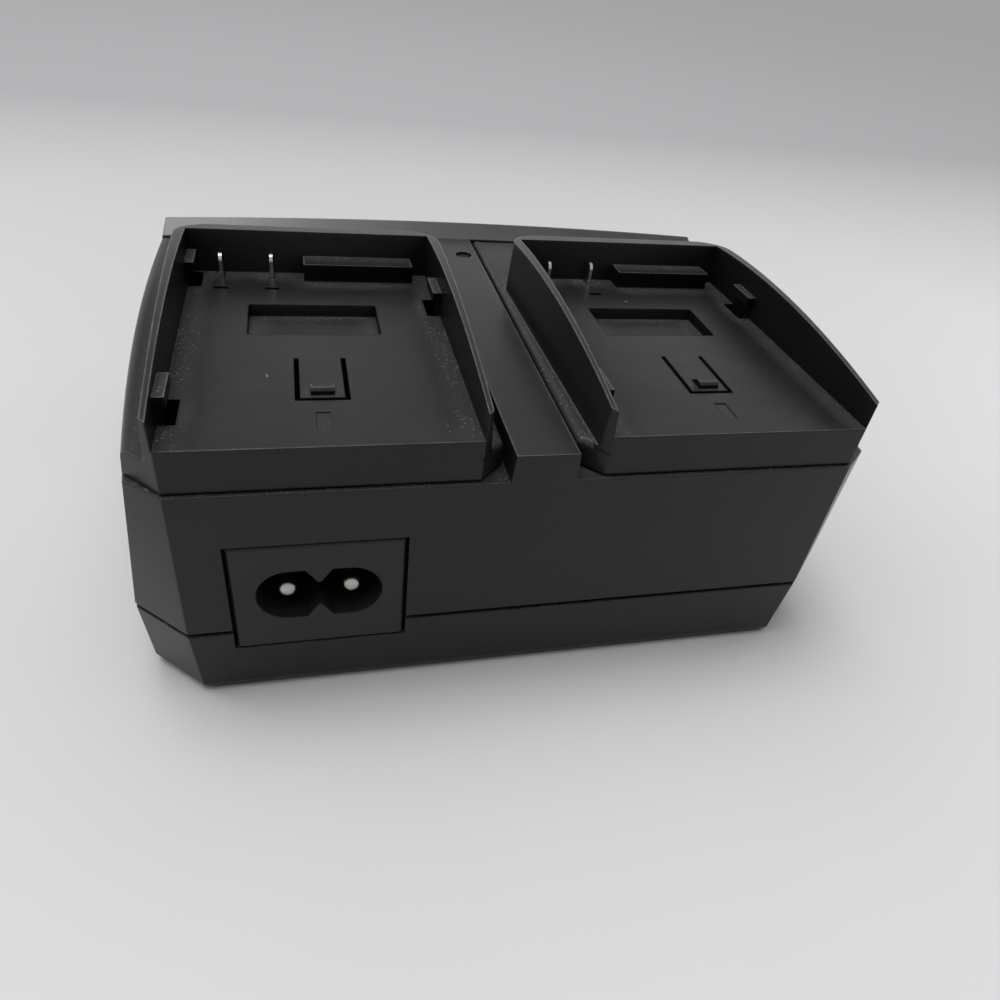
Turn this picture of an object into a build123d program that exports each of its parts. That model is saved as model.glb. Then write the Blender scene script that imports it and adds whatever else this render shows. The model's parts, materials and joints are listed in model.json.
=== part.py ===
from build123d import *
import os
from math import atan2, cos, radians, sin, sqrt, tan

# Twin battery charger: two-part housing, two exchangeable battery plates that slide on its deck,
# a two-pin mains inlet in the front face and a switched supply inside. Millimetres, +Z up.
# While modelling, y = 0 is the front face; the export moves the origin to the middle of the bottom.

# Housing
BODY_WIDTH = 112.4
BODY_DEPTH = 98.0
FRONT_INSET = 9.2
FOOT_PROUD = 0.8
COVER_HEIGHT = 12.3
SHELL_HEIGHT = 23.4
WALL = 2.0
SEAM_GAP = 0.8
COVER_EDGE_R = 0.9
LIP_FIT = 0.4
LIP_T = 1.2
LIP_RISE = 1.8
LIP_ROOT = 4.0
BELLY_SHARE = 0.592
REAR_CROWN = 2.5
RIB_HALF = 4.3
RIB_HEIGHT = 4.2
RIB_DRAFT = 0.3
DIMPLE_R = 1.6
DIMPLE_BACK = 8.6

# Corner chamfers at each level, across and back, and how far the sides lean in from the seam
BOTTOM_CHAMFER = (7.2, 6.8)
SEAM_CHAMFER = (7.4, 6.9)
DECK_CHAMFER = (4.7, 3.9)
TOP_CHAMFER = (3.6, 3.2)
BOTTOM_SET_BACK = 0.5
BOTTOM_TUCK = 0.7
DECK_LEAN = 1.2
TOP_LEAN = 2.9
DECK_TUCK = 0.2
TOP_TUCK = 0.1
ENVELOPE_SPARE = 2.0

# Console at the back: its edges are arcs about one far upright axis
CONSOLE_DEPTH = 20.7
CONSOLE_RADIUS = 420.0
CONSOLE_SPAN = 10.0
CONSOLE_RISE = 6.3
CONSOLE_BEVEL = (3.0, 2.3)
CONSOLE_SLOPE = 45.0
CONSOLE_T = 1.8
CONSOLE_FIT = 0.15
CONSOLE_GAP = 0.7

# Battery plates
PLATE_PITCH = 55.4
PLATE_FRONT = 0.5
PLATE_GAP = 0.3
RIB_GAP = 0.45
PLATE_CHAMFER = 3.45
PLATE_SKIN = 1.6
APRON_HEIGHT = 6.0
SHOULDER_DROP = 2.1
SHOULDER_R = 1.4
FLARE_R = 0.3
FLARE_ROOT = 0.6
TRAVEL = 10.0

# Tray in each plate, measured from the plate's middle line and the front face
TRAY_HALF = 19.2
TRAY_DRAFT = 0.2
TRAY_BACK = 52.0
BACK_LEAN = 1.8
BACK_T = 2.6
FLOOR_SKIN = 2.9
WALL_FOOT = 1.2
WALL_TIP = 0.35
WALL_REAR_FOOT = 2.2
WALL_REAR = 1.7
WALL_FRONT_RISE = 3.8
WALL_CROWN_RISE = 7.2
WALL_CROWN_Y = 28.0
WALL_REAR_RISE = 6.2
TRAY_CORNER_R = 5.5
CATCH_REACH = 1.3
CATCH_WINDOW = 2.0
CATCH_T = 1.5
CATCH_RISE = 2.3
LEDGE_X = (-1.4, 16.4)
LEDGE_DEPTH = 3.3
LEDGE_RISE = 2.8
LATCH_HALF = 3.5
LATCH_FRONT = 11.0
LATCH_BACK = 22.2
LATCH_SLOT = 0.65
LATCH_T = 1.3
LATCH_BUMP = 0.95
LATCH_BUMP_HALF = 1.5
RECESS_X = (-9.9, 9.3)
RECESS_Y = (29.4, 39.6)
RECESS_DEPTH = 1.8
RECESS_RUN = 0.5
RECESS_R = 0.5
MARK_X = (-1.0, 0.7)
MARK_Y = (4.3, 8.2)
MARK_DEPTH = 0.15
BLADE_T = 0.5
BLADE_X = (-14.3, -6.5)
BLADE_DEPTH = 2.1
BLADE_RISE = 3.7
BLADE_STAND = 0.2
BLADE_FIT = 0.1
SLIT_HALF = 1.1
SLIT_FRONT = 6.8
SLIT_DEPTH = 0.8
PAD_LENGTH = 10.3
PAD_HALF = 1.25
PAD_T = 0.5
PAD_RISE = 1.5
SPRING_T = 0.5
SPRING_HALF = 1.0
SPRING_BEND = 3.9
SPRING_RISE = (3.5, 0.7)
SPRING_CREST = 7.0
SPRING_TAIL = (9.5, 0.3)
SPRING_SLOT_FIT = 0.5
SPRING_FIT = 0.33

# Feet of the plates in the deck
FOOT_X = 10.4
FOOT_FRONT = 16.0
FOOT_BEHIND = 19.3
FOOT_ROOT = 0.3
FOOT_STEM = (3.0, 4.0)
FOOT_TOE = 8.0
FOOT_TOE_T = 1.5
FOOT_SIDE_FIT = 0.4
FOOT_END_FIT = 0.5
TOE_FIT = 0.3

# Mains inlet
INLET_INSET = 17.7
INLET_WIDTH = 22.9
INLET_HEIGHT = 18.4
INLET_DROP = 3.7
INLET_DEPTH = 16.0
INLET_GAP = 0.4
INLET_SEAT = 0.2
INLET_FLANGE = 1.5
SOCKET_WIDTH = 16.8
SOCKET_HEIGHT = 8.7
SOCKET_DEPTH = 12.5
SOCKET_RISE = 5.9
NOTCH_DEPTH = 2.2
NOTCH_WIDTH = 3.6
NOTCH_TIP = 1.0
PIN_SPACING = 8.6
PIN_R = 1.2
PIN_RECESS = 0.9
INLET_FRONT = 0.1
FLANGE_T = 2.0
FLANGE_ROOM = 5.0
PIN_FIT = 0.06

# Board and fasteners
STANDOFF = 4.0
BOARD_T = 1.6
BOARD_SIDE = 3.7
BOARD_FRONT = 4.0
BOARD_END = 7.0
POST_R = 3.2
POST_INSET = 0.1
POST_FRONT = 13.0
POST_BEHIND = 5.3
SCREW_R = 1.3
SCREW_FIT = 0.1
SCREW_HEAD_R = 2.8
SCREW_HEAD_T = 2.0
SCREW_SEAT = 4.0
SCREW_GRIP = 7.0
BOSS_DROP = 1.5
BOSS_WALL = 1.3
STANDOFF_R = 2.8
BOARD_SCREW_R = 1.0
BOARD_HEAD_R = 2.2
BOARD_HEAD_T = 1.4
STANDOFF_INSET = 13.0
STANDOFF_FRONT = 30.0
STANDOFF_END = 14.0
PAD_R = 4.6
PAD_SINK = 1.0
PAD_INSET = 9.0
PAD_END = 20.0
LAMP_END = 10.5
LAMP_R = 1.8
PIPE_PROUD = 0.3
PIPE_FIT = 0.1

# Supply on the board: places as x and depth, then sizes
FUSE_AT = (6.0, 12.0)
FUSE_LENGTH = 20.0
FUSE_R = 2.5
FUSE_CAP_R = 2.9
FUSE_CAP_LENGTH = 5.0
CHOKE_AT = (28.0, 14.0)
CHOKE_R = 5.6
CHOKE_HEIGHT = 10.0
CHOKE_FLANGE_R = 7.0
CHOKE_FLANGE_T = 1.2
BULK_AT = (32.0, 44.0)
BULK_R = 8.0
BULK_HEIGHT = 20.0
BULK_GROOVE = (2.4, 0.8, 0.5)
CORE_AT = (-8.0, 38.0)
CORE_SIZE = (26.0, 7.4, 22.0)
CORE_LIMB = 3.6
CORE_WINDOW = 5.8
CORE_YOKE = 4.5
WINDING_SIZE = (18.4, 18.0)
WINDING_R = 3.0
WINDING_FIT = 0.2
SINK_AT = (15.5, 30.0)
SINK_WIDTH = 13.0
SINK_DEPTH = 9.6
SINK_HEIGHT = 20.0
SINK_T = 1.6
SWITCH_SIZE = (9.4, 4.4, 14.0)
SWITCH_RISE = 4.0
SWITCH_LEADS = (-2.5, 0.0, 2.5)
LEAD_HALF = 0.4
OUTPUT_X = (-26.0, 28.0)
OUTPUT_Y = 64.0
OUTPUT_R = 4.0
OUTPUT_HEIGHT = 12.0
CHIP_BEHIND = 17.2
CHIP_HALF = (5.0, 3.8)
CHIP_T = 2.2
CHIP_LEG = (0.3, 5.0, 0.6)
CHIP_LEG_PITCH = 2.0
LAMP_SIZE = (3.2, 2.8, 1.9)
LAMP_GAP = 0.3

# Places that follow from the sizes above
FRONT_FLAT = BODY_WIDTH - 2 * FRONT_INSET
BELLY_Y = BELLY_SHARE * BODY_DEPTH
CONSOLE_FRONT = BODY_DEPTH - CONSOLE_DEPTH
BOARD_BACK = BODY_DEPTH - BOARD_END
PLATE_INNER = PLATE_PITCH / 2 - RIB_HALF - RIB_DRAFT - RIB_GAP
left = -PLATE_PITCH / 2
right = PLATE_PITCH / 2
INLET_X = INLET_INSET - FRONT_FLAT / 2
BOARD_HALF = FRONT_FLAT / 2 - BOARD_SIDE
POST_X = FRONT_FLAT / 2 - POST_INSET
POST_Y = (POST_FRONT, CONSOLE_FRONT - POST_BEHIND)
STANDOFF_X = FRONT_FLAT / 2 - STANDOFF_INSET
STANDOFF_Y = (STANDOFF_FRONT, BODY_DEPTH - STANDOFF_END)
PAD_X = FRONT_FLAT / 2 - PAD_INSET
PAD_Y = (PAD_END, BODY_DEPTH - PAD_END)
FOOT_Y = (FOOT_FRONT, CONSOLE_FRONT - FOOT_BEHIND)
LAMP_Y = BODY_DEPTH - LAMP_END

# Levels
SEAM_Z = FOOT_PROUD + COVER_HEIGHT
DECK_Z = SEAM_Z + SHELL_HEIGHT
RIB_Z = DECK_Z + RIB_HEIGHT
CONSOLE_Z = DECK_Z + CONSOLE_RISE
TOP_Z = CONSOLE_Z + ENVELOPE_SPARE
PLATE_Z = DECK_Z + PLATE_GAP
FLOOR_Z = PLATE_Z + APRON_HEIGHT
SHOULDER_Z = FLOOR_Z - SHOULDER_DROP
HOLLOW_Z = SHOULDER_Z - PLATE_SKIN
POCKET_Z = FLOOR_Z - FLOOR_SKIN
COVER_FLOOR_Z = FOOT_PROUD + WALL
BOARD_Z = COVER_FLOOR_Z + STANDOFF
BOARD_TOP = BOARD_Z + BOARD_T
BOSS_Z = SEAM_Z - BOSS_DROP
CONTACT_PAD_Z = DECK_Z + PAD_RISE
SCREW_HEAD_Z = FOOT_PROUD + SCREW_SEAT

# Plans: set-back, half the front flat, chamfer width, chamfer depth, half the widest place
PLAN_BOTTOM = (BOTTOM_SET_BACK, FRONT_FLAT / 2 - BOTTOM_TUCK, *BOTTOM_CHAMFER, BODY_WIDTH / 2 - BOTTOM_TUCK)
PLAN_SEAM = (0.0, FRONT_FLAT / 2, *SEAM_CHAMFER, BODY_WIDTH / 2)
PLAN_DECK = (0.0, FRONT_FLAT / 2 - DECK_TUCK, *DECK_CHAMFER, BODY_WIDTH / 2 - DECK_LEAN)
PLAN_TOP = (0.0, FRONT_FLAT / 2 - TOP_TUCK, *TOP_CHAMFER, BODY_WIDTH / 2 - TOP_LEAN)
FAR = 2 * BODY_WIDTH

CONSOLE_AXIS = Axis((0, CONSOLE_FRONT - CONSOLE_RADIUS, 0), (0, 0, 1))


def block(x0, x1, y0, y1, z0, z1):
    """Box between two corners."""
    return Pos((x0 + x1) / 2, (y0 + y1) / 2, (z0 + z1) / 2) * Box(x1 - x0, y1 - y0, z1 - z0)


def rod(x, y, z0, z1, r):
    """Upright cylinder."""
    return Pos(x, y, (z0 + z1) / 2) * Cylinder(r, z1 - z0)


def along_x(face, x0, x1):
    """Extrude a (y, z) face from x0 to x1."""
    return Pos(x0, 0, 0) * extrude(Plane.YZ * face, amount=x1 - x0)


def along_y(face, y0, y1):
    """Extrude an (x, z) face from y0 to y1."""
    return Pos(0, y1, 0) * extrude(Plane.XZ * face, amount=y1 - y0)


def polygon(*points):
    return make_face(Polyline(*points, close=True))


def plan(z, shape):
    """Outline at one level: flat front, chamfered corners, bowed sides and back."""
    set_back, front, chamfer_x, chamfer_y, belly = shape
    side = front + chamfer_x
    side_y = set_back + chamfer_y
    back_mid = BODY_DEPTH - set_back
    back_y = back_mid - REAR_CROWN
    rear_y = back_y - chamfer_y
    rear = belly - (belly - side) * ((rear_y - BELLY_Y) / (BELLY_Y - side_y)) ** 2
    back = rear - chamfer_x
    edges = [
        Line((-front, set_back), (front, set_back)),
        Line((front, set_back), (side, side_y)),
        ThreePointArc((side, side_y), (belly, BELLY_Y), (rear, rear_y)),
        Line((rear, rear_y), (back, back_y)),
        ThreePointArc((back, back_y), (0, back_mid), (-back, back_y)),
        Line((-back, back_y), (-rear, rear_y)),
        ThreePointArc((-rear, rear_y), (-belly, BELLY_Y), (-side, side_y)),
        Line((-side, side_y), (-front, set_back)),
    ]
    return Pos(0, 0, z) * make_face(edges)


def inset(face, amount):
    return offset(face, amount=-amount, kind=Kind.INTERSECTION)


def console_sweep(*points):
    """Sweep a (y, z) profile round the far console axis."""
    turned = revolve(Plane.YZ * polygon(*points), CONSOLE_AXIS, 2 * CONSOLE_SPAN)
    return turned.rotate(CONSOLE_AXIS, -CONSOLE_SPAN)


def four(x, ys):
    """Four places, left and right, at two depths."""
    return [(sx * x, y) for sx in (-1, 1) for y in ys]


# Outer and inner envelopes of the housing
envelope = loft([plan(SEAM_Z, PLAN_SEAM), plan(DECK_Z, PLAN_DECK), plan(TOP_Z, PLAN_TOP)], ruled=True)
inner_envelope = loft(
    [
        inset(plan(SEAM_Z, PLAN_SEAM), WALL),
        inset(plan(DECK_Z, PLAN_DECK), WALL),
        inset(plan(TOP_Z, PLAN_TOP), WALL),
    ],
    ruled=True,
)

# Console panel: lip, bevelled front edge and sloping face, bent from one thickness
bevel_run, bevel_rise = CONSOLE_BEVEL
bevel = atan2(bevel_rise, bevel_run)
slope = radians(CONSOLE_SLOPE)
ridge_y = CONSOLE_FRONT + bevel_run
end_y = BODY_DEPTH + CONSOLE_RISE


def console_line(below):
    """Lip, bevel and slope of the console, a given thickness below its outer face."""
    lip = CONSOLE_FRONT + below
    bevel_drop = below / cos(bevel)
    slope_drop = below / cos(slope)
    crest = ridge_y + (bevel_drop - slope_drop) / (tan(bevel) + tan(slope))
    return [
        (lip, DECK_Z),
        (lip, CONSOLE_Z - bevel_rise + below * tan(bevel) - bevel_drop),
        (crest, CONSOLE_Z - slope_drop - (crest - ridge_y) * tan(slope)),
        (end_y, CONSOLE_Z - slope_drop - (end_y - ridge_y) * tan(slope)),
    ]


panel = console_sweep(*console_line(0), *reversed(console_line(CONSOLE_T)))
console_panel = panel & envelope
lamp_places = [(sx * PLATE_PITCH / 2, LAMP_Y) for sx in (-1, 1)]
for x, y in lamp_places:
    console_panel -= rod(x, y, SEAM_Z, TOP_Z, LAMP_R + PIPE_FIT)

# Top shell: deck, upstand under the console, walls, rib and posts
upstand_y = CONSOLE_FRONT + CONSOLE_T + CONSOLE_FIT
above = console_sweep(
    (-WALL, DECK_Z), *console_line(CONSOLE_T + CONSOLE_FIT), (end_y, 2 * TOP_Z), (-WALL, 2 * TOP_Z)
)
roof = console_sweep(
    (-WALL, DECK_Z - WALL),
    (upstand_y + WALL, DECK_Z - WALL),
    (upstand_y + WALL, 2 * TOP_Z),
    (-WALL, 2 * TOP_Z),
)
top_shell = envelope - above - (inner_envelope - roof)
rib_end = CONSOLE_FRONT - CONSOLE_GAP
rib = along_y(
    polygon(
        (-RIB_HALF - RIB_DRAFT, DECK_Z - 0.5),
        (RIB_HALF + RIB_DRAFT, DECK_Z - 0.5),
        (RIB_HALF, RIB_Z),
        (-RIB_HALF, RIB_Z),
    ),
    0,
    rib_end,
)
top_shell += rib
top_shell -= block(-RIB_HALF + WALL, RIB_HALF - WALL, WALL, rib_end - WALL, DECK_Z - WALL - 1, RIB_Z - WALL)
top_shell -= rod(DIMPLE_R, rib_end - DIMPLE_BACK, RIB_Z - 0.5, RIB_Z + 1, DIMPLE_R)

inlet_x0 = INLET_X - INLET_WIDTH / 2
inlet_x1 = INLET_X + INLET_WIDTH / 2
inlet_z0 = SEAM_Z - INLET_DROP
inlet_z1 = inlet_z0 + INLET_HEIGHT
window = block(
    inlet_x0 - INLET_GAP, inlet_x1 + INLET_GAP, -1, WALL + 0.2, inlet_z0 - INLET_SEAT, inlet_z1 + INLET_GAP
)
top_shell -= window

stem_x, stem_y = FOOT_STEM
pad_back = TRAY_BACK - BLADE_STAND
pad_front = pad_back - PAD_LENGTH
for side in (-1, 1):
    middle = side * PLATE_PITCH / 2
    for x in (middle - FOOT_X, middle + FOOT_X):
        half = stem_x / 2 + FOOT_SIDE_FIT
        for y in FOOT_Y:
            slot_front = y - TRAVEL - FOOT_END_FIT
            slot_back = y + stem_y + FOOT_END_FIT
            top_shell -= block(x - half, x + half, slot_front, slot_back, DECK_Z - WALL - 1, DECK_Z + 1)
    half = SPRING_HALF + SPRING_SLOT_FIT
    for u in BLADE_X:
        x = middle + u
        top_shell -= block(x - half, x + half, pad_front - 0.2, pad_back - 0.9, DECK_Z - WALL - 1, DECK_Z + 1)
for x, y in four(POST_X, POST_Y):
    top_shell += rod(x, y, BOSS_Z, DECK_Z - WALL + 0.5, POST_R)
    top_shell -= rod(x, y, BOSS_Z - 1, BOSS_Z + SCREW_GRIP + 2, SCREW_R + SCREW_FIT)

# Bottom cover: tray with a lip inside the shell, bosses, standoffs and recesses for the feet
cover_sections = []
for turn in (0, 45):
    level = FOOT_PROUD + COVER_EDGE_R * (1 - cos(radians(turn)))
    cover_sections.append(inset(plan(level, PLAN_BOTTOM), COVER_EDGE_R * (1 - sin(radians(turn)))))
cover_sections += [plan(FOOT_PROUD + COVER_EDGE_R, PLAN_BOTTOM), plan(SEAM_Z, PLAN_SEAM)]
cover = loft(cover_sections, ruled=True)
cover_cavity = loft(
    [inset(plan(FOOT_PROUD, PLAN_BOTTOM), WALL), inset(plan(SEAM_Z, PLAN_SEAM), WALL)], ruled=True
)
cover_cavity -= block(-FAR, FAR, -FAR, FAR, FOOT_PROUD - 1, COVER_FLOOR_Z)
bottom_cover = cover - cover_cavity
bottom_cover -= block(-FAR, FAR, -FAR, FAR, SEAM_Z - SEAM_GAP, SEAM_Z + 5)
lip_foot = SEAM_Z - LIP_ROOT
lip_outline = inset(plan(lip_foot, PLAN_SEAM), WALL + LIP_FIT)
lip_inside = inset(plan(lip_foot, PLAN_SEAM), WALL + LIP_FIT + LIP_T)
lip_root = inset(plan(lip_foot, PLAN_SEAM), WALL - 0.5)
bottom_cover += extrude(lip_outline - lip_inside, amount=LIP_ROOT + LIP_RISE)
bottom_cover += extrude(lip_root - lip_inside, amount=LIP_ROOT - SEAM_GAP)
bottom_cover -= window
bottom_cover -= block(
    inlet_x0 - INLET_FLANGE - INLET_GAP,
    inlet_x1 + INLET_FLANGE + INLET_GAP,
    WALL,
    WALL + FLANGE_ROOM,
    BOARD_TOP,
    SEAM_Z + FLANGE_ROOM,
)
for x, y in four(POST_X, POST_Y):
    bottom_cover += rod(x, y, COVER_FLOOR_Z - 0.5, BOSS_Z, POST_R + BOSS_WALL)
    bottom_cover -= rod(x, y, FOOT_PROUD - 1, BOSS_Z + 1, SCREW_R + 0.3)
    bottom_cover -= rod(x, y, FOOT_PROUD - 1, SCREW_HEAD_Z, SCREW_HEAD_R + 0.4)
for x, y in four(STANDOFF_X, STANDOFF_Y):
    bottom_cover += rod(x, y, COVER_FLOOR_Z - 0.5, BOARD_Z, STANDOFF_R)
    bottom_cover -= rod(x, y, COVER_FLOOR_Z, BOARD_Z + 1, BOARD_SCREW_R + SCREW_FIT)
for x, y in four(PAD_X, PAD_Y):
    bottom_cover -= rod(x, y, FOOT_PROUD - 1, FOOT_PROUD + PAD_SINK, PAD_R + 0.2)

rubber_feet = Part() + [rod(x, y, 0, FOOT_PROUD + PAD_SINK, PAD_R) for x, y in four(PAD_X, PAD_Y)]
cover_screws = Part() + [
    rod(x, y, SCREW_HEAD_Z - SCREW_HEAD_T, SCREW_HEAD_Z, SCREW_HEAD_R)
    + rod(x, y, SCREW_HEAD_Z - 0.2, BOSS_Z + SCREW_GRIP, SCREW_R)
    for x, y in four(POST_X, POST_Y)
]
board_screws = Part() + [
    rod(x, y, BOARD_TOP, BOARD_TOP + BOARD_HEAD_T, BOARD_HEAD_R)
    + rod(x, y, COVER_FLOOR_Z + 0.5, BOARD_TOP + 0.2, BOARD_SCREW_R)
    for x, y in four(STANDOFF_X, STANDOFF_Y)
]


# Mains inlet
def socket_face():
    """Twin-lobed opening with a notch above and below its waist."""
    lobes = SlotOverall(SOCKET_WIDTH, SOCKET_HEIGHT)
    half = SOCKET_HEIGHT / 2
    for sign in (-1, 1):
        mouth = sign * (half + 0.01)
        tip = sign * (half - NOTCH_DEPTH)
        neck = sign * (half - NOTCH_DEPTH + 0.4)
        sides = Polyline(
            (-NOTCH_TIP / 2, neck), (-NOTCH_WIDTH / 2, mouth), (NOTCH_WIDTH / 2, mouth), (NOTCH_TIP / 2, neck)
        )
        lobes -= make_face([sides, ThreePointArc((NOTCH_TIP / 2, neck), (0, tip), (-NOTCH_TIP / 2, neck))])
    return lobes


socket_z = SEAM_Z + SOCKET_RISE
flange_y = WALL + 0.3
inlet_block = block(inlet_x0, inlet_x1, INLET_FRONT, INLET_DEPTH, inlet_z0, inlet_z1)
inlet_block = chamfer(inlet_block.faces().sort_by(Axis.Y)[0].edges(), 0.3)
inlet_block += block(inlet_x0, inlet_x1, flange_y, INLET_DEPTH, BOARD_TOP, inlet_z1)
flange_x0 = inlet_x0 - INLET_FLANGE
flange_x1 = inlet_x1 + INLET_FLANGE
inlet_block += block(flange_x0, flange_x1, flange_y, flange_y + FLANGE_T, BOARD_TOP, inlet_z1 + INLET_FLANGE)
inlet_block -= along_y(Pos(INLET_X, socket_z) * socket_face(), -1, SOCKET_DEPTH)
pin_places = (INLET_X - PIN_SPACING / 2, INLET_X + PIN_SPACING / 2)


def inlet_pin(x):
    """Round pin with a domed tip and a tail down to the board."""
    length = INLET_DEPTH + 1.5 - PIN_RECESS
    pin = Pos(x, PIN_RECESS + length / 2, socket_z) * Rot(90, 0, 0) * Cylinder(PIN_R, length)
    pin = fillet(pin.edges().sort_by(Axis.Y)[0], 0.7)
    tail_y = INLET_DEPTH + 0.3
    return pin + block(x - 0.6, x + 0.6, tail_y, tail_y + 1.2, BOARD_TOP, socket_z)


for x in pin_places:
    bore = Cylinder(PIN_R + PIN_FIT, INLET_DEPTH)
    inlet_block -= Pos(x, SOCKET_DEPTH + INLET_DEPTH / 2 - 0.5, socket_z) * Rot(90, 0, 0) * bore
inlet_pin_left = inlet_pin(pin_places[0])
inlet_pin_right = inlet_pin(pin_places[1])


# Battery plates
def slab_plan(side, shrink):
    """Plan of a plate with both front corners chamfered, wide on its outer side."""
    slip = (sqrt(2) - 1) * shrink
    x = side * (PLATE_PITCH / 2 - PLATE_INNER + shrink)
    y = PLATE_FRONT + shrink
    cut = PLATE_CHAMFER - slip
    outer = side * (PLATE_PITCH / 2 + TRAY_HALF - slip)
    return polygon((x, y + cut), (x + side * cut, y), (outer, y), (outer + side * FAR, y + FAR), (x, y + FAR))


def tray_plan(z, half_front, half_rear, rear):
    """Plan of the tray's outside: chamfered front corners, rounded rear corners."""
    bend = TRAY_CORNER_R * (1 - 1 / sqrt(2))
    tip_y = PLATE_FRONT + half_front - TRAY_HALF
    turn_y = rear - TRAY_CORNER_R
    turn_x = half_rear - TRAY_CORNER_R
    edges = [Line((-TRAY_HALF, PLATE_FRONT), (TRAY_HALF, PLATE_FRONT)), Line((-turn_x, rear), (turn_x, rear))]
    for sx in (-1, 1):
        edges.append(Line((sx * TRAY_HALF, PLATE_FRONT), (sx * half_front, tip_y)))
        edges.append(Line((sx * half_front, tip_y), (sx * half_rear, turn_y)))
        middle = (sx * (half_rear - bend), rear - bend)
        edges.append(ThreePointArc((sx * half_rear, turn_y), middle, (sx * turn_x, rear)))
    return Pos(0, 0, z) * make_face(edges)


tray_rear = TRAY_BACK + BACK_LEAN + BACK_T
console_middle = Pos(0, CONSOLE_FRONT - CONSOLE_RADIUS, PLATE_Z)
rear_disc = console_middle * Cylinder(CONSOLE_RADIUS - CONSOLE_GAP, 2 * DECK_Z)
hollow_disc = console_middle * Cylinder(CONSOLE_RADIUS - CONSOLE_GAP - PLATE_SKIN, 2 * DECK_Z)

# Catches over the battery: x side, front, back
CATCHES = ((-1, 6.0, 11.8), (-1, 46.0, 51.6), (1, 36.0, 42.0))


def tray_walls():
    """Upstanding walls with flared feet and crowned tops, and the tray's hollow between them."""
    foot_front = TRAY_HALF + WALL_FOOT
    foot_rear = TRAY_HALF + WALL_REAR_FOOT
    crown_z = FLOOR_Z + WALL_CROWN_RISE
    over_z = crown_z + 1
    sections = [
        tray_plan(SHOULDER_Z - FLARE_ROOT, foot_front + FLARE_R, foot_rear + FLARE_R, tray_rear + FLARE_R)
    ]
    for turn in (0, 45, 90):
        out = FLARE_R * (1 - sin(radians(turn)))
        level = SHOULDER_Z + FLARE_R * (1 - cos(radians(turn)))
        sections.append(tray_plan(level, foot_front + out, foot_rear + out, tray_rear + out))
    sections.append(tray_plan(over_z, TRAY_HALF + TRAY_DRAFT + WALL_TIP, TRAY_HALF + WALL_REAR, tray_rear))
    walls = loft(sections, ruled=True)
    tip_z = FLOOR_Z + WALL_FRONT_RISE
    rear_z = FLOOR_Z + WALL_REAR_RISE
    behind = tray_rear + 5
    before = PLATE_FRONT - 5
    over = [
        ThreePointArc((PLATE_FRONT, tip_z), (WALL_CROWN_Y, crown_z - 0.1), (tray_rear, rear_z)),
        Polyline((tray_rear, rear_z), (behind, rear_z), (behind, 2 * over_z), (before, 2 * over_z)),
        Polyline((before, 2 * over_z), (before, tip_z), (PLATE_FRONT, tip_z)),
    ]
    walls -= along_x(make_face(over), -FAR, FAR)
    top_half = TRAY_HALF + TRAY_DRAFT
    top_back = TRAY_BACK + BACK_LEAN
    low = polygon((-TRAY_HALF, before), (TRAY_HALF, before), (TRAY_HALF, TRAY_BACK), (-TRAY_HALF, TRAY_BACK))
    high = polygon((-top_half, before), (top_half, before), (top_half, top_back), (-top_half, top_back))
    bay = loft([Pos(0, 0, FLOOR_Z) * low, Pos(0, 0, over_z) * high], ruled=True)
    return walls, bay


def floor_recess():
    """Sunk field in the floor, with a steep far side."""
    x0, x1 = RECESS_X
    y0, y1 = RECESS_Y
    sunk = FLOOR_Z - RECESS_DEPTH
    section = polygon(
        (y0, FLOOR_Z + 1), (y0, sunk), (y1 - RECESS_RUN, sunk), (y1, FLOOR_Z), (y1, FLOOR_Z + 1)
    )
    outline = Pos((x0 + x1) / 2, (y0 + y1) / 2) * RectangleRounded(x1 - x0, y1 - y0, RECESS_R)
    return along_x(section, x0, x1) & extrude(Pos(0, 0, sunk) * outline, amount=RECESS_DEPTH + 1)


def latch_cuts():
    """Slot round three sides of the latch tongue, and the space that thins it from below."""
    inner = LATCH_HALF - LATCH_SLOT
    around = block(-LATCH_HALF, LATCH_HALF, LATCH_FRONT, LATCH_BACK, HOLLOW_Z - 1, FLOOR_Z + 0.1)
    tongue = block(-inner, inner, LATCH_FRONT + LATCH_SLOT, LATCH_BACK, FLOOR_Z - LATCH_T, FLOOR_Z + 0.1)
    return around - tongue


def latch_bump():
    """Hook on the tongue: steep in front, sloping at the back."""
    y = LATCH_FRONT + 2 * LATCH_SLOT
    root = FLOOR_Z - 0.2
    top = FLOOR_Z + LATCH_BUMP
    profile = polygon((y, root), (y, top - 0.4), (y + 0.4, top), (y + 1.2, top), (y + 3.2, root))
    return along_x(profile, -LATCH_BUMP_HALF, LATCH_BUMP_HALF)


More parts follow.
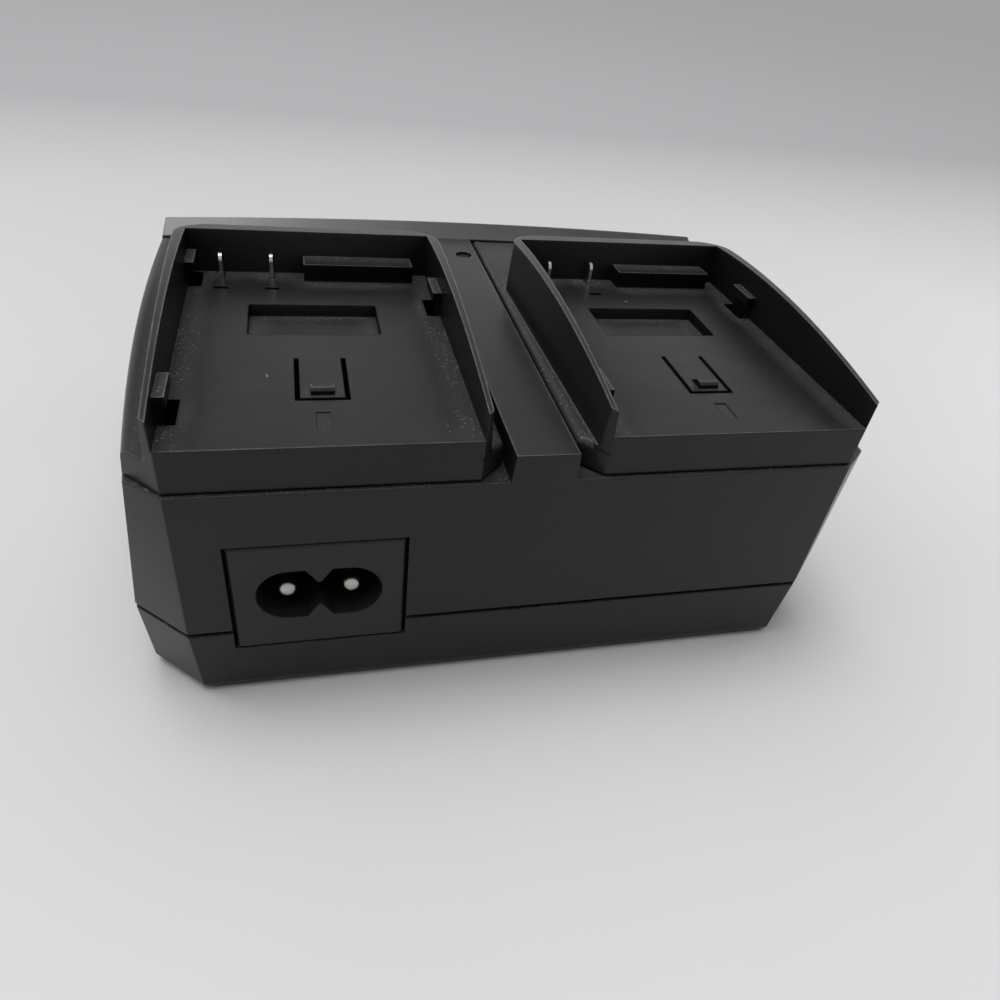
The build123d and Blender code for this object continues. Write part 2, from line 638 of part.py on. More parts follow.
def tray_fittings():
    """What stands in a tray and what is cut into it: catches, ledge, latch, recesses and slots."""
    ledge_x0, ledge_x1 = LEDGE_X
    stands = block(
        ledge_x0, ledge_x1, TRAY_BACK - LEDGE_DEPTH, TRAY_BACK + 0.5, FLOOR_Z - 0.3, FLOOR_Z + LEDGE_RISE
    )
    stands += latch_bump()
    cuts = floor_recess() + latch_cuts()
    cuts += block(*MARK_X, *MARK_Y, FLOOR_Z - MARK_DEPTH, FLOOR_Z + 1)
    for sx, y0, y1 in CATCHES:
        x0, x1 = sorted((sx * (TRAY_HALF - CATCH_REACH), sx * (TRAY_HALF + 0.5)))
        stands += block(x0, x1, y0, y1, FLOOR_Z + CATCH_RISE, FLOOR_Z + CATCH_RISE + CATCH_T)
        x0, x1 = sorted((sx * (TRAY_HALF - CATCH_WINDOW), sx * TRAY_HALF))
        cuts += block(x0, x1, y0, y1, HOLLOW_Z - 1, FLOOR_Z + 0.1)
    half = BLADE_T / 2 + BLADE_FIT
    blade_front = pad_back - BLADE_DEPTH - BLADE_FIT
    slit_y = TRAY_BACK - SLIT_FRONT
    for u in BLADE_X:
        cuts += block(u - half, u + half, blade_front, pad_back + BLADE_FIT, HOLLOW_Z - 1, FLOOR_Z + 0.1)
        cuts += block(
            u - SLIT_HALF, u + SLIT_HALF, slit_y, slit_y + SLIT_DEPTH, FLOOR_Z - SLIT_DEPTH, FLOOR_Z + 0.1
        )
    return stands, cuts


def battery_plate(side):
    """One plate: hollow slab, tray on top, hooked feet below."""
    middle = side * PLATE_PITCH / 2
    slab = extrude(Pos(0, 0, PLATE_Z) * slab_plan(side, 0), amount=SHOULDER_Z - PLATE_Z)
    slab = slab & envelope & rear_disc
    rims = slab.edges().filter_by(lambda e: abs(e.center().Z - SHOULDER_Z) < 0.01)
    chamfer_y = PLATE_FRONT + PLATE_CHAMFER
    rims = [e for e in rims if e.center().Y > PLATE_FRONT + 0.5]
    rims = [e for e in rims if e.center().Y > chamfer_y or abs(e.center().X) < PLATE_PITCH / 2]
    slab = fillet(rims, SHOULDER_R)
    walls, bay = tray_walls()
    stands, cuts = tray_fittings()
    hollow = extrude(Pos(0, 0, PLATE_Z - 1) * slab_plan(side, PLATE_SKIN), amount=HOLLOW_Z - PLATE_Z + 1)
    hollow = hollow & inner_envelope & hollow_disc
    pocket_half = TRAY_HALF - 0.4
    pocket = block(
        -pocket_half, pocket_half, PLATE_FRONT + PLATE_SKIN, TRAY_BACK, HOLLOW_Z - 0.5, POCKET_Z
    )
    flank_x, side_x = sorted((side * (PLATE_PITCH / 2 - PLATE_INNER), side * FAR))
    plate = slab + (Pos(middle, 0, 0) * walls & block(flank_x, side_x, -FAR, FAR, 0, FAR))
    plate = plate - Pos(middle, 0, 0) * (bay + pocket) - hollow
    plate = plate + Pos(middle, 0, 0) * stands - Pos(middle, 0, 0) * cuts
    toe_z = DECK_Z - WALL - TOE_FIT
    half = stem_x / 2
    for x in (middle - FOOT_X, middle + FOOT_X):
        for y in FOOT_Y:
            plate += block(x - half, x + half, y, y + stem_y, toe_z - FOOT_TOE_T, POCKET_Z + FOOT_ROOT)
            plate += block(x - half, x + half, y, y + stem_y + FOOT_TOE, toe_z - FOOT_TOE_T, toe_z)
    return plate


def blade_contact(x):
    """Upright blade with a rounded tip in front of the back wall, and a pad under the floor."""
    front = pad_back - BLADE_DEPTH
    tip = FLOOR_Z + BLADE_RISE
    cheek = tip - BLADE_DEPTH / 2
    blade = make_face(
        [
            Polyline((pad_back, cheek), (pad_back, CONTACT_PAD_Z), (front, CONTACT_PAD_Z), (front, cheek)),
            ThreePointArc((front, cheek), (front + BLADE_DEPTH / 2, tip), (pad_back, cheek)),
        ]
    )
    pad = block(x - PAD_HALF, x + PAD_HALF, pad_front, pad_back, CONTACT_PAD_Z, CONTACT_PAD_Z + PAD_T)
    return along_x(blade, x - BLADE_T / 2, x + BLADE_T / 2) + pad


def deck_spring(x):
    """Bent strip from the board, through the deck, to just below the plate's contact pad."""
    rise_y, rise_drop = SPRING_RISE
    tail_y, tail_drop = SPRING_TAIL
    path = Polyline(
        (TRAY_BACK, BOARD_TOP),
        (TRAY_BACK, DECK_Z - SPRING_BEND),
        (TRAY_BACK - rise_y, DECK_Z - rise_drop),
        (TRAY_BACK - SPRING_CREST, CONTACT_PAD_Z - SPRING_T / 2 - SPRING_FIT),
        (TRAY_BACK - tail_y, DECK_Z - tail_drop),
    )
    return along_x(trace(path, line_width=SPRING_T), x - SPRING_HALF, x + SPRING_HALF)


positive, negative = BLADE_X

# Board with clearance for the posts
main_board = block(-BOARD_HALF, BOARD_HALF, BOARD_FRONT, BOARD_BACK, BOARD_Z, BOARD_TOP)
for x, y in four(POST_X, POST_Y):
    main_board -= rod(x, y, BOARD_Z - 1, BOARD_TOP + 1, POST_R + 1.8)
for x, y in four(STANDOFF_X, STANDOFF_Y):
    main_board -= rod(x, y, BOARD_Z - 1, BOARD_TOP + 1, BOARD_SCREW_R + SCREW_FIT)

# Supply
fuse_x, fuse_y = FUSE_AT
fuse_z = BOARD_TOP + FUSE_CAP_R
mains_fuse = Pos(fuse_x, fuse_y, fuse_z) * Rot(0, 90, 0) * Cylinder(FUSE_R, FUSE_LENGTH)
cap_x = (FUSE_LENGTH - FUSE_CAP_LENGTH) / 2
for x in (fuse_x - cap_x, fuse_x + cap_x):
    mains_fuse += Pos(x, fuse_y, fuse_z) * Rot(0, 90, 0) * Cylinder(FUSE_CAP_R, FUSE_CAP_LENGTH)

choke_top = BOARD_TOP + CHOKE_HEIGHT
line_choke = rod(*CHOKE_AT, BOARD_TOP, choke_top, CHOKE_R)
for z in (BOARD_TOP, choke_top - CHOKE_FLANGE_T):
    line_choke += rod(*CHOKE_AT, z, z + CHOKE_FLANGE_T, CHOKE_FLANGE_R)

groove_rise, groove_width, groove_depth = BULK_GROOVE
groove_z = BOARD_TOP + groove_rise
bulk_capacitor = rod(*BULK_AT, BOARD_TOP, BOARD_TOP + BULK_HEIGHT, BULK_R)
bulk_capacitor -= rod(*BULK_AT, groove_z, groove_z + groove_width, BULK_R + 1) - rod(
    *BULK_AT, groove_z - 1, groove_z + groove_width + 1, BULK_R - groove_depth
)

core_x, core_y = CORE_AT
core_width, core_depth, core_height = CORE_SIZE
window_z0 = BOARD_TOP + CORE_YOKE
window_z1 = BOARD_TOP + core_height - CORE_YOKE
transformer_core = block(
    core_x - core_width / 2,
    core_x + core_width / 2,
    core_y - core_depth / 2,
    core_y + core_depth / 2,
    BOARD_TOP,
    BOARD_TOP + core_height,
)
for sx in (-1, 1):
    x0, x1 = sorted((core_x + sx * CORE_LIMB, core_x + sx * (CORE_LIMB + CORE_WINDOW)))
    transformer_core -= block(x0, x1, core_y - core_depth, core_y + core_depth, window_z0, window_z1)
limb = Rectangle(2 * (CORE_LIMB + WINDING_FIT), core_depth + 2 * WINDING_FIT)
winding = Pos(core_x, core_y) * (RectangleRounded(*WINDING_SIZE, WINDING_R) - limb)
transformer_winding = Pos(0, 0, window_z0 + WINDING_FIT) * extrude(
    winding, amount=window_z1 - window_z0 - 2 * WINDING_FIT
)

sink_x, sink_y = SINK_AT
sink_x0 = sink_x - SINK_WIDTH / 2
sink_back = sink_y + SINK_T
sink_top = BOARD_TOP + SINK_HEIGHT
heat_sink = block(sink_x0, sink_x0 + SINK_WIDTH, sink_y, sink_back, BOARD_TOP, sink_top)
for x in (sink_x0, sink_x0 + SINK_WIDTH - SINK_T):
    heat_sink += block(x, x + SINK_T, sink_back - SINK_DEPTH, sink_back, BOARD_TOP, sink_top)
switch_width, switch_depth, switch_height = SWITCH_SIZE
switch_z = BOARD_TOP + SWITCH_RISE
power_switch = block(
    sink_x - switch_width / 2,
    sink_x + switch_width / 2,
    sink_y - switch_depth,
    sink_y,
    switch_z,
    switch_z + switch_height,
)
lead_y = sink_y - switch_depth / 2
for u in SWITCH_LEADS:
    x = sink_x + u
    power_switch += block(
        x - LEAD_HALF, x + LEAD_HALF, lead_y - LEAD_HALF, lead_y + LEAD_HALF, BOARD_TOP, switch_z + 0.2
    )

output_left, output_right = OUTPUT_X
output_capacitor_left = rod(output_left, OUTPUT_Y, BOARD_TOP, BOARD_TOP + OUTPUT_HEIGHT, OUTPUT_R)
output_capacitor_right = rod(output_right, OUTPUT_Y, BOARD_TOP, BOARD_TOP + OUTPUT_HEIGHT, OUTPUT_R)

chip_y = BOARD_BACK - CHIP_BEHIND
chip_x, chip_half = CHIP_HALF
leg_half, leg_reach, leg_t = CHIP_LEG
charge_controller = block(
    -chip_x, chip_x, chip_y - chip_half, chip_y + chip_half, BOARD_TOP + 0.1, BOARD_TOP + CHIP_T
)
for n in (-2, -1, 0, 1, 2):
    x = n * CHIP_LEG_PITCH
    charge_controller += block(
        x - leg_half, x + leg_half, chip_y - leg_reach, chip_y + leg_reach, BOARD_TOP, BOARD_TOP + leg_t
    )

lamp_width, lamp_depth, lamp_height = LAMP_SIZE


def status_lamp(x):
    return Pos(x, LAMP_Y, BOARD_TOP + lamp_height / 2) * Box(lamp_width, lamp_depth, lamp_height)


def light_pipe(x):
    """Upright pipe from the lamp, cut off just proud of the sloping face."""
    under = console_sweep(*console_line(-PIPE_PROUD), (end_y, -end_y), (CONSOLE_FRONT, -end_y))
    return rod(x, LAMP_Y, BOARD_TOP + lamp_height + LAMP_GAP, CONSOLE_Z, LAMP_R) & under


pieces = {
    "top_shell": top_shell,
    "bottom_cover": bottom_cover,
    "console_panel": console_panel,
    "inlet_block": inlet_block,
    "inlet_pin_left": inlet_pin_left,
    "inlet_pin_right": inlet_pin_right,
    "main_board": main_board,
    "mains_fuse": mains_fuse,
    "line_choke": line_choke,
    "bulk_capacitor": bulk_capacitor,
    "transformer_core": transformer_core,
    "transformer_winding": transformer_winding,
    "power_switch": power_switch,
    "heat_sink": heat_sink,
    "output_capacitor_left": output_capacitor_left,
    "output_capacitor_right": output_capacitor_right,
    "charge_controller": charge_controller,
    "left_spring_positive": deck_spring(left + positive),
    "left_spring_negative": deck_spring(left + negative),
    "right_spring_positive": deck_spring(right + positive),
    "right_spring_negative": deck_spring(right + negative),
    "status_lamp_left": status_lamp(left),
    "status_lamp_right": status_lamp(right),
    "light_pipe_left": light_pipe(left),
    "light_pipe_right": light_pipe(right),
    "cover_screws": cover_screws,
    "board_screws": board_screws,
    "rubber_feet": rubber_feet,
    "left_plate": battery_plate(-1),
    "left_contact_positive": blade_contact(left + positive),
    "left_contact_negative": blade_contact(left + negative),
    "right_plate": battery_plate(1),
    "right_contact_positive": blade_contact(right + positive),
    "right_contact_negative": blade_contact(right + negative),
}

os.makedirs("parts", exist_ok=True)
for name, piece in pieces.items():
    export_step(Pos(0, -BODY_DEPTH / 2, 0) * piece, f"parts/{name}.step")
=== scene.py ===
import json

import bpy
from mathutils import Matrix, Vector


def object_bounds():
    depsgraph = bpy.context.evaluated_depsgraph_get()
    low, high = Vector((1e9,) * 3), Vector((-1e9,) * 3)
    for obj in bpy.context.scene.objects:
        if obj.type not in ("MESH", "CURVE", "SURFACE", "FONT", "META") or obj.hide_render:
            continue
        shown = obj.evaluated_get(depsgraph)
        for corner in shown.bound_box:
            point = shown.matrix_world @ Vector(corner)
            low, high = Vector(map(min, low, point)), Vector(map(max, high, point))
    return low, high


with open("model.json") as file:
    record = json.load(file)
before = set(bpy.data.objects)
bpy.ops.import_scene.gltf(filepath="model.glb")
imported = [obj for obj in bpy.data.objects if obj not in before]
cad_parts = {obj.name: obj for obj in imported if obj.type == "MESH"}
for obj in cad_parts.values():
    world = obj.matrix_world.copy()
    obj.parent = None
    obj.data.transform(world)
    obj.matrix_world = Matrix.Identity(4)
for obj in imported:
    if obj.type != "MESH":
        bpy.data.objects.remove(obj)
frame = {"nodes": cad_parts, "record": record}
cad_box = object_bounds()
nodes = frame["nodes"]
record = frame["record"]
scene = bpy.context.scene
MM = 0.001

# Camera, from a fit to the photograph: its place from the middle of the bottom, and the image's axes
CAMERA_AT = Vector((-29.875, -123.343, 94.59)) * MM
CAMERA_RIGHT = Vector((0.96861, -0.22126, 0.11336))
CAMERA_DOWN = Vector((-0.05087, -0.62243, -0.78097))
CAMERA_NEAR = 5.0 * MM
FOCAL_PX = 752.15
IMAGE_PX = 1000.0
SENSOR = 36.0

# Moulded plastic. Colours are linear; gains multiply the plastic's own colour
BLACK = (0.0125, 0.0125, 0.0131)
BLACK_INLET = (0.0150, 0.0150, 0.0156)
DUST = (0.30, 0.29, 0.28)
LINT = (0.36, 0.35, 0.34)
# Worn edges that face up, also lit with a painted highlight
WEAR_AND_HIGHLIGHT = (0.26, 0.26, 0.26)
# Painted shade: the near black that hollows are darkened towards
HOLLOW_SHADE = (0.002, 0.002, 0.002)
MOTTLE_DARK = 0.86
MOTTLE_LIGHT = 1.16
GRAIN_LIGHT = 1.7

# Its noises, as features per metre, detail and roughness
MOTTLE = (45.0, 3.0, 0.6)
GRAIN = (2600.0, 2.0, 0.6)
DUST_PATCHES = (120.0, 3.0, 0.65)
STRAY_LINT = (210.0, 2.0, 0.6)
DUST_FILM = (140.0, 4.0, 0.7)
WEAR_HIGHLIGHT_NOISE = (420.0, 3.0, 0.7)
SPECKS_PER_M = 1500.0

# Ranges of a noise, from where it counts as nothing to where it counts in full
MIDDLE = (0.3, 0.7)
GRAIN_TIPS = (0.35, 0.75)
SPECK_CORE = (0.30, 0.12)
PATCH_CUT = (0.38, 0.58)
STRAY_CUT = (0.70, 0.76)
FILM_CUT = (0.40, 0.75)

# Ranges of the normal's rise, of the bend at an edge and of the open share of the surroundings
DUST_RISE = (0.35, 0.85)
WEAR_HIGHLIGHT_RISE = (0.55, 0.85)
EDGE_BEND = (0.99, 0.90)
DUST_SHELTER = (0.90, 0.62)
WEAR_HIGHLIGHT_OPEN = (0.55, 0.80)
# Painted shade in hollows: the next range darkens their colour, the one after dims their shine
HOLLOW_SHADE_OPEN = (0.82, 0.55)
SHINE_OPEN = (0.62, 0.95)

# Most of each effect, the least wear and painted highlight of an edge, and the spread of the roughness
GRAIN_SHARE = 0.35
FILM_SHARE = 0.02
CORNER_SHARE = 0.22
LINT_SHARE = 0.9
LEAST_WEAR_HIGHLIGHT = 0.35
ROUGH_SPREAD = 0.05

# Lengths: rounding of edges, reach of dust and of the painted shade in hollows, height of the grain; and
# rays for the first three
EDGE_RADIUS = 0.40 * MM
DUST_REACH = 4.0 * MM
HOLLOW_REACH = 20.0 * MM
GRAIN_HEIGHT = 0.06 * MM
RAY_SAMPLES = 4

# Edges near the height of the tray floors get neither wear nor painted highlight: how near that is, and the
# front strip where they do
PLAIN_EDGE_BAND = (0.5 * MM, 1.0 * MM)
FRONT_STRIP = (cad_box[0][1] + 3.0 * MM, cad_box[0][1] + 2.0 * MM)

# Plated metal: drawn lines, tarnish, rounding of the pins, and along which axes the lines are finer
LINE_DETAIL = (2.0, 0.6)
TARNISH = (500.0, 3.0, 0.6)
TARNISH_CUT = (0.3, 0.75)
TARNISH_DARK = 0.62
LINES_SMOOTH = 0.07
LINES_ROUGH = 0.10
LINES_BUMP = 0.12
LINES_HEIGHT = 0.03 * MM
PIN_ROUNDING = 1.1 * MM
PIN_SAMPLES = 8
FINE_ALONG_Y = (1, 8, 1)
FINE_ALONG_Z = (1, 1, 6)
FINE_ALONG_SCREW = (1, 1, 5)
FINE_ACROSS_Z = (6, 6, 1)

# Coated inner pieces: noise, spread of the roughness, relief
COAT_DETAIL = (3.0, 0.6)
COAT_SMOOTH = 0.06
COAT_ROUGH = 0.08
COAT_BUMP = 0.15
COAT_HEIGHT = 0.08 * MM

# Floor: its colours near the object, further away with painted light and behind it with painted shade, where
# they change in m, size and finish
FLOOR_NEAR = (0.61, 0.61, 0.62)
FLOOR_FAR_LIT = (0.74, 0.74, 0.75)
FLOOR_BACK_SHADE = (0.41, 0.41, 0.42)
FLOOR_FAR_LIT_AT = (0.09, 0.22)
FLOOR_BACK_SHADE_AT = (0.0, 0.32)
FLOOR_HALF = 25.0
FLOOR_MOTTLE = (8.0, 3.0)
FLOOR_DARK = 0.98
FLOOR_LIGHT = 1.02
FLOOR_ROUGH = 0.8
FLOOR_SHINE = 0.05

# Light: patches of the dome as direction, cosine where they start and are full, and level; one lamp
PALE = (0.66, 0.66, 0.67)
WHITE = (1.0, 1.0, 1.0)
DOME_LEAST = 0.05
DOME_PATCHES = (
    ((-0.12, 0.12, 0.98), 0.60, 0.96, 1.9),
    ((-0.90, 0.10, 0.42), 0.75, 0.98, 0.6),
    ((0.90, 0.10, 0.42), 0.75, 0.98, 0.3),
)
LAMP_AT = Vector((-0.14, 0.08, 0.90))
LAMP_AIM = Vector((0.0, 0.0, 0.03))
LAMP_SIDE = 0.34
LAMP_WATTS = 2.6


def rgba(colour, gain=1.0):
    """Colour times a gain, with full alpha."""
    return (colour[0] * gain, colour[1] * gain, colour[2] * gain, 1.0)


class Nodes:
    """Shorthand for making the nodes of one tree."""

    def __init__(self, tree, coords):
        self.tree = tree
        self.coords = self.node("ShaderNodeTexCoord").outputs[coords]

    def put(self, socket, value):
        """Link the socket to another one, or set its value."""
        if isinstance(value, bpy.types.NodeSocket):
            self.tree.links.new(value, socket)
        else:
            socket.default_value = value

    def node(self, kind, inputs=None, **settings):
        """New node with these settings, its inputs linked or set."""
        made = self.tree.nodes.new(kind)
        for key, value in settings.items():
            setattr(made, key, value)
        for key, value in (inputs or {}).items():
            self.put(made.inputs[key], value)
        return made

    def noise(self, per_m, detail=2.0, rough=0.5, stretch=(1, 1, 1)):
        """Noise with that many features per metre, times the stretch along each axis."""
        place = self.node("ShaderNodeMapping", {"Vector": self.coords, "Scale": stretch})
        wanted = {"Vector": place.outputs[0], "Scale": per_m, "Detail": detail, "Roughness": rough}
        return self.node("ShaderNodeTexNoise", wanted).outputs["Fac"]

    def remap(self, value, low, high, to_low=0.0, to_high=1.0, ease="LINEAR"):
        """Value from low to high, as to_low to to_high."""
        wanted = {"Value": value, "From Min": low, "From Max": high, "To Min": to_low, "To Max": to_high}
        return self.node("ShaderNodeMapRange", wanted, interpolation_type=ease).outputs[0]

    def maths(self, what, first, second=0.0, clamp=False):
        """One operation on two values, or on the first alone."""
        return self.node("ShaderNodeMath", {0: first, 1: second}, operation=what, use_clamp=clamp).outputs[0]

    def product(self, first, *others):
        """All the values multiplied."""
        for other in others:
            first = self.maths("MULTIPLY", first, other)
        return first

    def dot(self, first, second):
        """Dot product of two vectors."""
        made = self.node("ShaderNodeVectorMath", {0: first, 1: second}, operation="DOT_PRODUCT")
        return made.outputs["Value"]

    def split(self, vector):
        """Outputs X, Y and Z of a vector."""
        return self.node("ShaderNodeSeparateXYZ", {0: vector}).outputs


class Look(Nodes):
    """Material with one Principled shader."""

    def __init__(self, name):
        self.material = bpy.data.materials.new(name)
        self.material.use_nodes = True
        super().__init__(self.material.node_tree, "Object")
        self.shader = self.tree.nodes["Principled BSDF"]

    def set(self, **values):
        """Link or set the shader's sockets; an underscore stands for a space in a socket's name."""
        for key, value in values.items():
            self.put(self.shader.inputs[key.replace("_", " ")], value)

    def mix(self, factor, first, second):
        """Two colours mixed."""
        made = self.node("ShaderNodeMix", {"Factor": factor}, data_type="RGBA")
        self.put(made.inputs["A"], first)
        self.put(made.inputs["B"], second)
        return made.outputs["Result"]

    def bump(self, height, strength, distance, normal=None):
        """Normal with a relief of that height, on the surface's own normal or on another one."""
        wanted = {"Height": height, "Strength": strength, "Distance": distance}
        if normal is not None:
            wanted["Normal"] = normal
        return self.node("ShaderNodeBump", wanted).outputs[0]

    def rounded(self, radius, samples):
        """Normal with the edges rounded off."""
        return self.node("ShaderNodeBevel", {"Radius": radius}, samples=samples).outputs[0]

    def open_share(self, reach, own_piece_only=False):
        """Share of the surroundings that nothing covers within the reach."""
        made = self.node("ShaderNodeAmbientOcclusion", {"Distance": reach}, samples=RAY_SAMPLES,
                         only_local=own_piece_only)
        return made.outputs["AO"]


def dusted(look, base, rise, near_open, dust):
    """Film of dust and flecks of lint on what faces up, most of it in sheltered corners."""
    up = look.remap(rise, *DUST_RISE)
    cells = look.node("ShaderNodeTexVoronoi", {"Vector": look.coords, "Scale": SPECKS_PER_M})
    speck = look.remap(cells.outputs["Distance"], *SPECK_CORE)
    corner = look.remap(near_open, *DUST_SHELTER)
    drift = look.product(speck, look.remap(look.noise(*DUST_PATCHES), *PATCH_CUT), corner)
    stray = look.product(speck, look.remap(look.noise(*STRAY_LINT), *STRAY_CUT))
    lint = look.product(look.maths("MAXIMUM", drift, stray), look.product(up, dust), LINT_SHARE)
    film = look.remap(look.noise(*DUST_FILM), *FILM_CUT, 0.0, FILM_SHARE)
    film = look.maths("ADD", film, look.product(corner, CORNER_SHARE))
    base = look.mix(look.product(film, up, dust), base, rgba(DUST))
    return look.mix(lint, base, rgba(LINT))


def wear_and_highlight_share(look, bend, rise, near_open, wear_and_highlight, plain_edge_z):
    """How far open edges that face up are worn and lit with a painted highlight; near the given height only
    those in front are.
    """
    edge = look.product(look.remap(bend, *EDGE_BEND), look.remap(rise, *WEAR_HIGHLIGHT_RISE))
    edge = look.product(edge, look.remap(near_open, *WEAR_HIGHLIGHT_OPEN))
    worn_and_lit = look.product(edge, look.remap(look.noise(*WEAR_HIGHLIGHT_NOISE), *MIDDLE, LEAST_WEAR_HIGHLIGHT * wear_and_highlight, wear_and_highlight))
    if plain_edge_z is None:
        return worn_and_lit
    place = look.split(look.coords)
    away = look.maths("ABSOLUTE", look.maths("SUBTRACT", place["Z"], plain_edge_z))
    front = look.remap(place["Y"], *FRONT_STRIP)
    return look.product(worn_and_lit, look.maths("MAXIMUM", look.remap(away, *PLAIN_EDGE_BAND), front))


def moulded(name, colour, rough, grain, dust, shine, recess=0.08, gloom=0.6, wear_and_highlight=1.0, plain_edge_z=None):
    """Black moulded plastic: faint mottling, spark grain, dust, worn edges with a painted highlight, and
    painted shade in hollows.

    In hollows the colour darkens by the share gloom, a painted shade, and the shine falls to the share
    recess of it, a painted dimming of reflections.
    """
    look = Look(name)
    mottle = look.noise(*MOTTLE)
    fine = look.noise(*GRAIN)
    normal = look.node("ShaderNodeNewGeometry").outputs["Normal"]
    soft = look.rounded(EDGE_RADIUS, RAY_SAMPLES)
    rise = look.split(normal)["Z"]
    near_open = look.open_share(DUST_REACH)
    wide_open = look.open_share(HOLLOW_REACH, own_piece_only=True)
    base = look.mix(look.remap(mottle, *MIDDLE), rgba(colour, MOTTLE_DARK), rgba(colour, MOTTLE_LIGHT))
    base = look.mix(look.remap(fine, *GRAIN_TIPS, 0.0, GRAIN_SHARE), base, rgba(colour, GRAIN_LIGHT))
    base = dusted(look, base, rise, near_open, dust)
    worn_and_lit = wear_and_highlight_share(look, look.dot(soft, normal), rise, near_open, wear_and_highlight, plain_edge_z)
    # Worn edges that face up, with a painted highlight
    base = look.mix(worn_and_lit, base, rgba(WEAR_AND_HIGHLIGHT))
    # Painted shade in hollows: their colour darkened here, and their shine dimmed below
    base = look.mix(look.remap(wide_open, *HOLLOW_SHADE_OPEN, 0.0, gloom), base, rgba(HOLLOW_SHADE))
    look.set(Base_Color=base)
    look.set(Specular_IOR_Level=look.remap(wide_open, *SHINE_OPEN, recess * shine, shine))
    look.set(Roughness=look.remap(mottle, *MIDDLE, rough - ROUGH_SPREAD, rough + ROUGH_SPREAD))
    look.set(Normal=look.bump(fine, grain, GRAIN_HEIGHT, soft))
    return look.material


def metal(name, colour, rough, per_m, stretch, rounding=None):
    """Plated metal with fine drawn lines and faint tarnish; rounding softens its edges over that width."""
    look = Look(name)
    lines = look.noise(per_m, *LINE_DETAIL, stretch)
    tarnish = look.remap(look.noise(*TARNISH), *TARNISH_CUT)
    soft = None
    if rounding is not None:
        soft = look.rounded(rounding, PIN_SAMPLES)
    look.set(Base_Color=look.mix(tarnish, rgba(colour), rgba(colour, TARNISH_DARK)), Metallic=1.0)
    look.set(Roughness=look.remap(lines, *MIDDLE, rough - LINES_SMOOTH, rough + LINES_ROUGH))
    look.set(Normal=look.bump(lines, LINES_BUMP, LINES_HEIGHT, soft))
    return look.material


def coated(name, colour, rough, per_m, contrast):
    """Painted, sleeved or sintered inner piece: mottled colour and a slight grain."""
    look = Look(name)
    grain = look.noise(per_m, *COAT_DETAIL)
    shade = look.remap(grain, *MIDDLE)
    look.set(Base_Color=look.mix(shade, rgba(colour, 1 - contrast), rgba(colour, 1 + contrast)))
    look.set(Roughness=look.remap(grain, *MIDDLE, rough - COAT_SMOOTH, rough + COAT_ROUGH))
    look.set(Normal=look.bump(grain, COAT_BUMP, COAT_HEIGHT))
    return look.material


# A look for each material slot of the record, and for the nodes that differ from their slot
TRAY_FLOOR = next(mount["pos_m"][2] for mount in record["mounts"] if mount["name"] == "left_bay")
LOOKS = {
    "black_abs": moulded("black_abs_look", BLACK, rough=0.32, grain=0.16, dust=0.5, shine=0.27),
    "plate_black": moulded("plate_black_look", BLACK, rough=0.30, grain=0.16, dust=1.0, shine=0.24,
                           plain_edge_z=TRAY_FLOOR),
    "console": moulded("console_look", BLACK, rough=0.30, grain=0.10, dust=0.8, shine=0.85),
    "inlet_black": moulded("inlet_black_look", BLACK_INLET, rough=0.36, grain=0.08, dust=0.1, shine=0.29,
                           recess=0.3, gloom=0.0, wear_and_highlight=0.0),
    "nickel": metal("nickel_look", (0.62, 0.58, 0.52), rough=0.25, per_m=900.0, stretch=FINE_ALONG_Y),
    "pin": metal("pin_look", (0.56, 0.53, 0.48), rough=0.27, per_m=900.0, stretch=FINE_ALONG_Y,
                 rounding=PIN_ROUNDING),
    "winding_copper": metal("choke_look", (0.55, 0.22, 0.10), rough=0.35, per_m=900.0, stretch=FINE_ALONG_Z),
    "sink_aluminium": metal("sink_look", (0.75, 0.76, 0.77), rough=0.32, per_m=700.0, stretch=FINE_ACROSS_Z),
    "screw_steel": metal("screw_look", (0.55, 0.55, 0.54), rough=0.34, per_m=800.0,
                         stretch=FINE_ALONG_SCREW),
    "board_green": coated("board_look", (0.03, 0.13, 0.06), rough=0.4, per_m=700.0, contrast=0.2),
    "fuse_glass": coated("fuse_look", (0.62, 0.62, 0.58), rough=0.2, per_m=500.0, contrast=0.1),
    "sleeve_dark": coated("sleeve_look", (0.03, 0.035, 0.07), rough=0.3, per_m=300.0, contrast=0.2),
    "ferrite": coated("ferrite_look", (0.05, 0.05, 0.055), rough=0.6, per_m=900.0, contrast=0.3),
    "winding_tape": coated("tape_look", (0.42, 0.32, 0.06), rough=0.3, per_m=400.0, contrast=0.12),
    "chip_black": coated("chip_look", (0.02, 0.02, 0.021), rough=0.55, per_m=900.0, contrast=0.25),
    "lamp_white": coated("lamp_look", (0.7, 0.7, 0.66), rough=0.3, per_m=400.0, contrast=0.08),
    "pipe_clear": coated("pipe_look", (0.36, 0.38, 0.38), rough=0.22, per_m=500.0, contrast=0.12),
    "foot_rubber": coated("rubber_look", (0.02, 0.02, 0.02), rough=0.75, per_m=900.0, contrast=0.25),
}
OWN_LOOK = {"console_panel": "console", "inlet_pin_left": "pin", "inlet_pin_right": "pin"}
for part in record["subparts"]:
    mesh = nodes[part["node"]].data
    mesh.materials.clear()
    mesh.materials.append(LOOKS[OWN_LOOK.get(part["node"], part["material_slot"])])

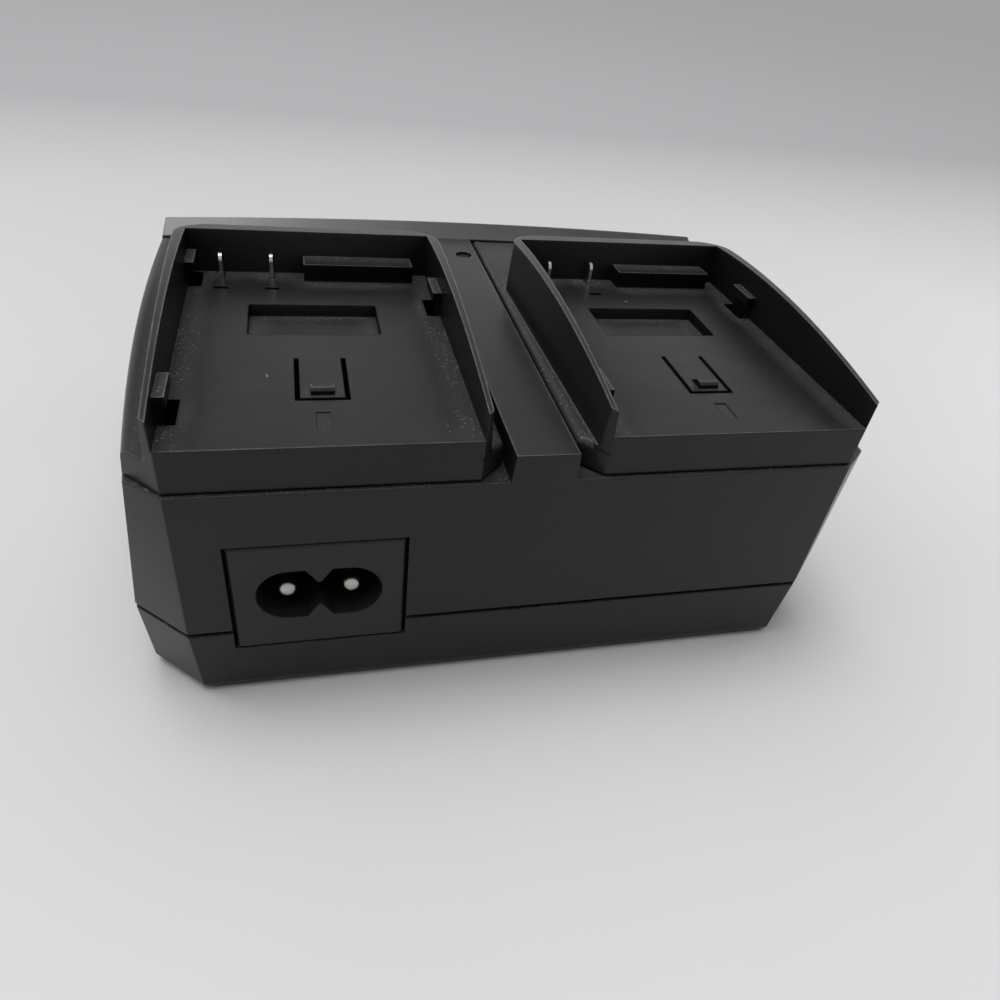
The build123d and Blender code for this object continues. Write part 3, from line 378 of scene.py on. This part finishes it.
# Floor, which painted light makes paler away from the object and painted shade makes greyer behind it
floor_mesh = bpy.data.meshes.new("floor")
corners = [(x * FLOOR_HALF, y * FLOOR_HALF, 0.0) for x, y in ((-1, -1), (1, -1), (1, 1), (-1, 1))]
floor_mesh.from_pydata(corners, [], [(0, 1, 2, 3)])
floor = bpy.data.objects.new("floor", floor_mesh)
scene.collection.objects.link(floor)
ground = Look("floor_look")
mottled = ground.remap(ground.noise(*FLOOR_MOTTLE), *MIDDLE)
paper = ground.mix(mottled, rgba(FLOOR_NEAR, FLOOR_DARK), rgba(FLOOR_NEAR, FLOOR_LIGHT))
away = ground.node("ShaderNodeVectorMath", {0: ground.coords}, operation="LENGTH").outputs["Value"]
# Painted light: paler away from the object
paper = ground.mix(ground.remap(away, *FLOOR_FAR_LIT_AT), paper, rgba(FLOOR_FAR_LIT))
# Painted shade: greyer behind the object
behind = ground.split(ground.coords)["Y"]
paper = ground.mix(ground.remap(behind, *FLOOR_BACK_SHADE_AT), paper, rgba(FLOOR_BACK_SHADE))
ground.set(Base_Color=paper, Roughness=FLOOR_ROUGH, Specular_IOR_Level=FLOOR_SHINE)
floor_mesh.materials.append(ground.material)

# World: a soft dome lights the scene, and rays from the camera, gloss and glass see a plain pale backdrop
world = bpy.data.worlds.new("studio")
world.use_nodes = True
sky = Nodes(world.node_tree, "Generated")
level = DOME_LEAST
for towards, start, full, most in DOME_PATCHES:
    near = sky.dot(sky.coords, Vector(towards).normalized())
    level = sky.maths("ADD", level, sky.remap(near, start, full, 0.0, most, "SMOOTHSTEP"))
path = sky.node("ShaderNodeLightPath").outputs
seen = sky.maths("ADD", path["Is Camera Ray"], path["Is Glossy Ray"])
seen = sky.maths("ADD", seen, path["Is Transmission Ray"], clamp=True)
dome = sky.node("ShaderNodeBackground", {"Color": rgba(WHITE), "Strength": level})
backdrop = sky.node("ShaderNodeBackground", {"Color": rgba(PALE), "Strength": 1.0})
both = sky.node("ShaderNodeMixShader", {0: seen, 1: dome.outputs[0], 2: backdrop.outputs[0]})
sky.put(sky.tree.nodes["World Output"].inputs["Surface"], both.outputs[0])
scene.world = world

# Lamp
lamp_data = bpy.data.lights.new("softbox", "AREA")
lamp_data.shape = "RECTANGLE"
lamp_data.size = LAMP_SIDE
lamp_data.size_y = LAMP_SIDE
lamp_data.energy = LAMP_WATTS
lamp = bpy.data.objects.new("softbox", lamp_data)
lamp.location = LAMP_AT
lamp.rotation_mode = "QUATERNION"
lamp.rotation_quaternion = (LAMP_AIM - LAMP_AT).to_track_quat("-Z", "Y")
scene.collection.objects.link(lamp)

# Camera
camera_data = bpy.data.cameras.new("camera")
camera_data.sensor_width = SENSOR
camera_data.sensor_fit = "HORIZONTAL"
camera_data.lens = FOCAL_PX / IMAGE_PX * SENSOR
camera_data.clip_start = CAMERA_NEAR
camera = bpy.data.objects.new("camera", camera_data)
scene.collection.objects.link(camera)
forward = CAMERA_DOWN.cross(-CAMERA_RIGHT)
axes = Matrix((CAMERA_RIGHT, -CAMERA_DOWN, -forward)).transposed()
camera.matrix_world = Matrix.Translation(CAMERA_AT) @ axes.to_4x4()
scene.camera = camera
scene.view_settings.view_transform = "Standard"
